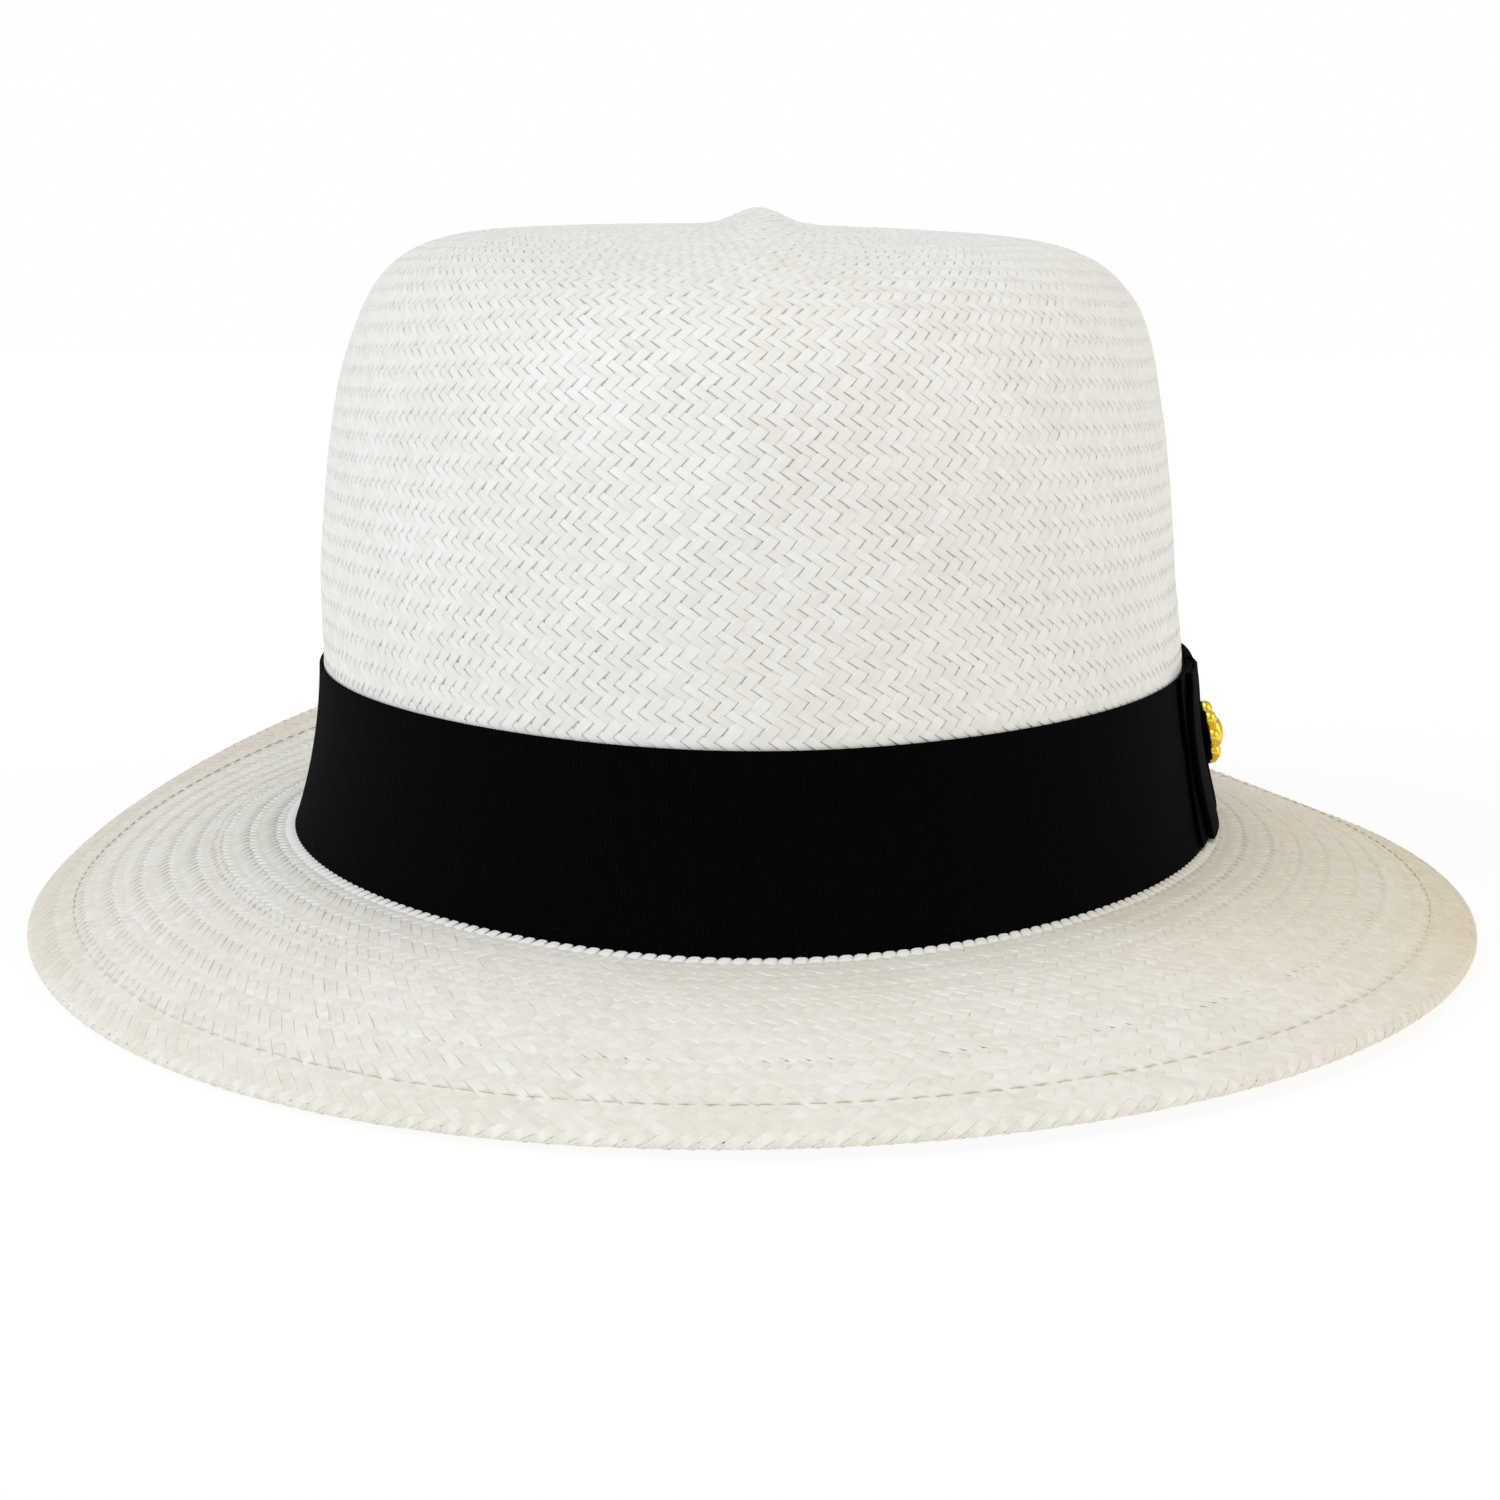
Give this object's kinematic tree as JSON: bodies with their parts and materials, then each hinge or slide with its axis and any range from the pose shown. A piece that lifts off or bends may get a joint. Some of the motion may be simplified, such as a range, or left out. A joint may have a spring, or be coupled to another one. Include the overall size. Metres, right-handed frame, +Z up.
{
  "type": "panama hat",
  "caption": "Woven straw hat with a full ridged crown, a drooping brim turned up at the back, black ribbon, side bow with a pin, and leather sweatband.",
  "frame": {"origin": "on the resting plane, under the middle of the brim's outline", "axes": "+Z up, -Y to the front of the hat, +X to the wearer's left"},
  "size_m": [0.284, 0.33, 0.1372],
  "materials": {
    "straw": "woven straw",
    "straw_thread": "thread",
    "edge_wire": "matte",
    "ribbon": "grosgrain",
    "black_thread": "thread",
    "gold": "polished",
    "pin_metal": "polished",
    "leather": "smooth",
    "reed": "matte",
    "tan_thread": "thread",
    "bow_satin": "satin"
  },
  "bodies": {
    "root": {"straw_body": "straw", "brim_wire": "edge_wire", "brim_stitching": "straw_thread", "hat_band": "ribbon", "band_stitches": "black_thread", "bow_tail": "ribbon", "bow_loop": "ribbon", "bow_knot": "ribbon", "bow_stitches": "black_thread", "sweatband": "leather", "sweatband_reed": "reed", "sweatband_stitching": "tan_thread", "sweatband_join": "leather", "sweatband_bow": "bow_satin"},
    "clutch": {"pin_clutch": "pin_metal"},
    "pin": {"pin_ornament": "gold", "pin_post": "pin_metal"}
  },
  "joints": [
    {"name": "pin_turn", "type": "hinge", "parent": "root", "child": "clutch", "pos_m": [0.08869, 0, 0.0309], "axis": [0.9841, 0, 0.1775], "continuous": true},
    {"name": "pin_pull", "type": "slide", "parent": "clutch", "child": "pin", "axis": [0.9841, 0, 0.1775], "range_m": [0, 0.012]}
  ]
}
